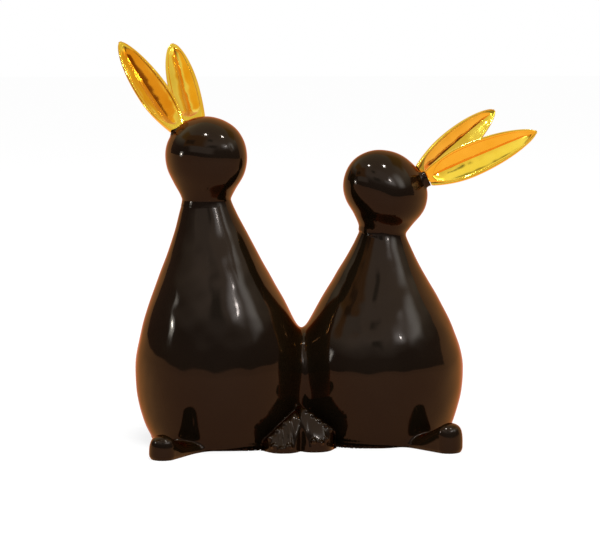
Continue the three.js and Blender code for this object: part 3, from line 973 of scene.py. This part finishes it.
surface = fired_surface()
glaze = finish_material(
    "black_brown_glaze", surface,
    {"Wave Scale": 45.0, "Wave Height": 1.0, "Peel Scale": 700.0, "Peel Height": 0.01,
     "Cloud Scale": 30.0},
    colours=[(0.0076, 0.0078, 0.0072), (0.0106, 0.0106, 0.0098)],
    roughness=(0.06, 0.11), relief=0.0003,
    gloss={"IOR": 1.36, "Specular Tint": (0.836, 0.50, 0.467, 1), "Coat Weight": 1.0,
           "Coat Roughness": 0.05, "Coat IOR": 1.02, "Coat Tint": (1.0, 0.70, 0.42, 1)},
)
lustre = finish_material(
    "gold_lustre", surface,
    {"Wave Scale": 110.0, "Wave Height": 1.0, "Peel Scale": 1500.0, "Peel Height": 0.02,
     "Cloud Scale": 60.0},
    colours=[(0.83, 0.335, 0.018), (0.90, 0.39, 0.03)],
    roughness=(0.07, 0.13), relief=0.0004,
    gloss={"Metallic": 1.0},
)

# Pieces

for name, piece in glazed_pieces().items():
    piece.data.materials.append(glaze)
    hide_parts(name)
    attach(piece, "root")

for name, rabbit in RABBITS.items():
    for place, ear_frame in EAR_FRAMES[name].items():
        piece = ear_piece(f"{name}_{place}_ear_leaf", rabbit["ears"][place], ear_frame, rabbit)
        piece.data.materials.append(lustre)
        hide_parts(f"{name}_{place}_ear")
        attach(piece, "root")

# Camera at the photograph's place

VIEW_AZIMUTH = -6.0
VIEW_ELEVATION = 6.5
VIEW_DISTANCE = 950.0
VIEW_TARGET = np.array([0.0, 0.0, 80.5])
SENSOR_WIDTH = 36.0
FOCAL_PIXELS = 1971.0
PICTURE_WIDTH = 600.0

camera_data = bpy.data.cameras.new("camera")
camera_data.sensor_width = SENSOR_WIDTH
camera_data.lens = SENSOR_WIDTH * FOCAL_PIXELS / PICTURE_WIDTH
camera = put("camera", camera_data)
back = toward(VIEW_AZIMUTH, VIEW_ELEVATION)
camera.location = to_frame(VIEW_TARGET + VIEW_DISTANCE * back)
camera.rotation_euler = Vector(back).to_track_quat("Z", "Y").to_euler()
bpy.context.scene.camera = camera

# Stage and light

BACKGROUND = 1.0
AMBIENT = 0.7
FLOOR_GLOW = 0.76
FLOOR_PAINT = 0.32
FLOOR_REACH = 12.0
ROOM_RADIUS = 3.0
ROOM_BOTTOM = 5.0
BACKDROP_MIDDLE = (161.0, -6.5)
BACKDROP_REACH = 71.5
ROOM_STRENGTH = 3.0
ROOM_COLUMNS = 180
ROOM_ROWS = 90

# The room's tones, each at a share of the dome's height. Between them they blend.
ROOM_TONES = [
    (0.08, (0.05, 0.05, 0.09)),
    (0.38, (0.06, 0.07, 0.13)),
    (0.50, (0.18, 0.30, 0.46)),
    (0.62, (0.36, 0.61, 0.90)),
    (0.75, (0.35, 0.57, 0.80)),
    (0.92, (0.26, 0.40, 0.54)),
]
LIGHT_CENTRE = np.array([0.0, 0.0, 60.0])
CARD_DISTANCE = 1.5
CARD_EDGE = 0.5


def seen_rays(tree):
    """1 on camera, glossy and transmission rays, 0 on the rays that only light."""
    path = tree.nodes.new("ShaderNodeLightPath").outputs
    seen = math_node(tree, "MAXIMUM", path["Is Camera Ray"], path["Is Glossy Ray"])
    return math_node(tree, "MAXIMUM", seen, path["Is Transmission Ray"])


def stage_material(name):
    """A material whose nodes are placed one by one, with its output's surface socket."""
    material = bpy.data.materials.new(name)
    material.use_nodes = True
    tree = material.node_tree
    tree.nodes.clear()
    return material, tree, tree.nodes.new("ShaderNodeOutputMaterial").inputs["Surface"]


def sheet(name, half_width, half_depth):
    """A flat mesh of one face round its own middle."""
    mesh = bpy.data.meshes.new(name)
    corners = [(-half_width, -half_depth, 0), (half_width, -half_depth, 0),
               (half_width, half_depth, 0), (-half_width, half_depth, 0)]
    mesh.from_pydata(corners, [], [(0, 1, 2, 3)])
    return mesh


def lay_floor():
    """A floor that is white to the eye and in the gloss, and keeps the figurine's shadow."""
    mesh = sheet("floor", FLOOR_REACH, FLOOR_REACH)
    floor = put("floor", mesh)
    material, tree, surface_in = stage_material("white_floor")
    paint = tree.nodes.new("ShaderNodeBsdfDiffuse")
    paint.inputs["Color"].default_value = (FLOOR_PAINT, FLOOR_PAINT, FLOOR_PAINT, 1)
    glow = tree.nodes.new("ShaderNodeEmission")
    glow.inputs["Color"].default_value = (1, 1, 1, 1)
    tree.links.new(math_node(tree, "MULTIPLY", seen_rays(tree), FLOOR_GLOW), glow.inputs["Strength"])
    both = tree.nodes.new("ShaderNodeAddShader")
    tree.links.new(paint.outputs[0], both.inputs[0])
    tree.links.new(glow.outputs[0], both.inputs[1])
    tree.links.new(both.outputs[0], surface_in)
    mesh.materials.append(material)


def light_world():
    """A world that is white to the eye and in the gloss, and lights the figurine more softly."""
    world = bpy.data.worlds.new("studio")
    world.use_nodes = True
    bpy.context.scene.world = world
    tree = world.node_tree
    background = tree.nodes["Background"]
    background.inputs["Color"].default_value = (1, 1, 1, 1)
    lift = math_node(tree, "MULTIPLY", seen_rays(tree), BACKGROUND - AMBIENT)
    tree.links.new(math_node(tree, "ADD", lift, AMBIENT), background.inputs["Strength"])


def for_reflections_only(piece):
    """Only the gloss shows the piece. It casts no shadow and lights no matt surface."""
    piece.visible_camera = False
    piece.visible_diffuse = False
    piece.visible_shadow = False


def hang_card(name, place, size, colour, strength, edge=CARD_EDGE, seen_from=LIGHT_CENTRE,
              distance=CARD_DISTANCE):
    """A glowing card that faces a point of the figurine, at this distance in metres from it.

    Its place is an azimuth and an elevation, its size a width and a height, all in degrees. Its
    soft edge is a share of its half width and half height.
    """
    mesh = sheet(name, *(distance * math.tan(math.radians(span / 2)) for span in size))
    card = put(name, mesh)
    way = toward(*place)
    card.location = Vector(to_frame(seen_from)) + Vector(way) * distance
    card.rotation_euler = Vector(way).to_track_quat("Z", "Y").to_euler()
    material, tree, surface_in = stage_material(name)
    across = tree.nodes.new("ShaderNodeTexCoord").outputs["Generated"]
    split = tree.nodes.new("ShaderNodeSeparateXYZ")
    tree.links.new(across, split.inputs[0])
    cover = None
    for axis in ("X", "Y"):
        inward = math_node(tree, "PINGPONG", split.outputs[axis], 0.5)
        inward = math_node(tree, "MULTIPLY", inward, 2 / edge)
        eased = tree.nodes.new("ShaderNodeMapRange")
        eased.interpolation_type = "SMOOTHSTEP"
        tree.links.new(inward, eased.inputs["Value"])
        inward = eased.outputs["Result"]
        cover = inward if cover is None else math_node(tree, "MULTIPLY", cover, inward)
    glow = tree.nodes.new("ShaderNodeEmission")
    glow.inputs["Color"].default_value = (*colour, 1)
    glow.inputs["Strength"].default_value = strength
    clear = tree.nodes.new("ShaderNodeBsdfTransparent")
    mix = tree.nodes.new("ShaderNodeMixShader")
    tree.links.new(cover, mix.inputs["Fac"])
    tree.links.new(clear.outputs[0], mix.inputs[1])
    tree.links.new(glow.outputs[0], mix.inputs[2])
    tree.links.new(mix.outputs[0], surface_in)
    mesh.materials.append(material)
    for_reflections_only(card)


def raise_room():
    """A dark dome round the figurine, brighter overhead.

    It is open near the ground and toward the backdrop, where the white world shows.
    """
    backdrop = toward(*BACKDROP_MIDDLE)
    nearest = math.cos(math.radians(BACKDROP_REACH))
    points = []
    for row in range(ROOM_ROWS + 1):
        for column in range(ROOM_COLUMNS):
            way = toward(360 * column / ROOM_COLUMNS, 90 * row / ROOM_ROWS)
            points.append(tuple(way * ROOM_RADIUS))
    faces = []
    for row in range(ROOM_ROWS):
        for column in range(ROOM_COLUMNS):
            azimuth = 360 * (column + 0.5) / ROOM_COLUMNS
            elevation = 90 * (row + 0.5) / ROOM_ROWS
            if elevation < ROOM_BOTTOM or toward(azimuth, elevation) @ backdrop > nearest:
                continue
            a = row * ROOM_COLUMNS + column
            b = row * ROOM_COLUMNS + (column + 1) % ROOM_COLUMNS
            faces.append((a, a + ROOM_COLUMNS, b + ROOM_COLUMNS, b))
    mesh = bpy.data.meshes.new("dark_room")
    mesh.from_pydata(points, [], faces)
    room = put("dark_room", mesh)
    material, tree, surface_in = stage_material("dark_room")
    split = tree.nodes.new("ShaderNodeSeparateXYZ")
    tree.links.new(tree.nodes.new("ShaderNodeTexCoord").outputs["Object"], split.inputs[0])
    ramp = tree.nodes.new("ShaderNodeValToRGB")
    tree.links.new(math_node(tree, "DIVIDE", split.outputs["Z"], ROOM_RADIUS), ramp.inputs["Fac"])
    while len(ramp.color_ramp.elements) < len(ROOM_TONES):
        ramp.color_ramp.elements.new(0.5)
    for element, (place, tone) in zip(ramp.color_ramp.elements, ROOM_TONES):
        element.position = place
        element.color = (*tone, 1)
    glow = tree.nodes.new("ShaderNodeEmission")
    glow.inputs["Strength"].default_value = ROOM_STRENGTH
    tree.links.new(ramp.outputs["Color"], glow.inputs["Color"])
    tree.links.new(glow.outputs[0], surface_in)
    mesh.materials.append(material)
    for_reflections_only(room)


def area_lamp(name, place, distance, size, power):
    """A round lamp that faces the figurine, with its distance and size in metres."""
    data = bpy.data.lights.new(name, "AREA")
    data.shape = "DISK"
    data.size = size
    data.energy = power
    lamp = put(name, data)
    way = Vector(toward(*place))
    lamp.location = Vector(to_frame(LIGHT_CENTRE)) + way * distance
    lamp.rotation_euler = way.to_track_quat("Z", "Y").to_euler()
    return lamp


DAYLIGHT = (0.27, 0.58, 1.0)
SANDY = (0.95, 0.93, 0.35)
AMBER = (1.0, 0.82, 0.4)
EMBER = (1.0, 0.5, 0.27)
DUSK = (0.30, 0.55, 1.0)
PALE_CEILING = (0.36, 0.61, 0.90)
LEFT_FLANK = np.array([-70.0, -22.0, 55.0])
LEFT_FACE = np.array([-54.0, -8.0, 140.0])
LEFT_EAR = np.array([-85.0, 15.0, 170.0])
RIGHT_EAR = np.array([88.0, -5.0, 140.0])

lay_floor()
light_world()
raise_room()

# Windows and lamps
hang_card("left_window", place=(-80, 21), size=(13, 13), colour=DAYLIGHT, strength=24.0,
          seen_from=LEFT_FLANK, distance=0.3)
hang_card("left_lamp", place=(-80, 21), size=(3, 3), colour=DAYLIGHT, strength=500.0,
          seen_from=LEFT_FLANK, distance=0.299)
hang_card("upper_left_window", place=(-60, 43), size=(8, 9), colour=DAYLIGHT, strength=24.0, edge=0.7)
hang_card("front_window", place=(28, 36), size=(26, 16), colour=DAYLIGHT, strength=18.0, edge=0.9)
hang_card("front_lamp", place=(30, 36), size=(3, 3), colour=DAYLIGHT, strength=300.0)
hang_card("right_window", place=(56, 35), size=(30, 26), colour=DAYLIGHT, strength=14.0, edge=0.9)

# Walls, beams and screens
hang_card("left_wall", place=(-94, 46), size=(40, 22), colour=SANDY, strength=0.95)
hang_card("right_wall", place=(112, 52), size=(40, 24), colour=SANDY, strength=0.8)
hang_card("ear_screen", place=(-40, 38), size=(70, 50), colour=AMBER, strength=0.8, edge=0.4,
          seen_from=LEFT_EAR, distance=0.16)
hang_card("ear_shadow", place=(-48, 31), size=(34, 18), colour=EMBER, strength=0.2, edge=0.35,
          seen_from=LEFT_EAR, distance=0.155)
hang_card("dark_beam", place=(-7, 34), size=(26, 13), colour=DUSK, strength=0.6, edge=0.7)
hang_card("dark_gap", place=(-14, 51), size=(12, 9), colour=DUSK, strength=0.6, edge=0.7)
hang_card("head_fill", place=(-26, 20), size=(64, 22), colour=PALE_CEILING, strength=2.4, edge=0.4,
          seen_from=LEFT_FACE, distance=0.1)
hang_card("ear_fill", place=(-22, 32), size=(36, 24), colour=PALE_CEILING, strength=3.0, edge=0.4,
          seen_from=RIGHT_EAR, distance=0.1)

# High lamps, and the one real light
hang_card("high_left_lamp", place=(-34, 66), size=(4, 4), colour=DAYLIGHT, strength=700.0)
hang_card("high_right_lamp", place=(42, 64), size=(4, 4), colour=DAYLIGHT, strength=700.0)
overhead = area_lamp("overhead", place=(20, 75), distance=1.6, size=1.0, power=14.0)
overhead.visible_glossy = False

bpy.context.scene.view_settings.view_transform = "Standard"
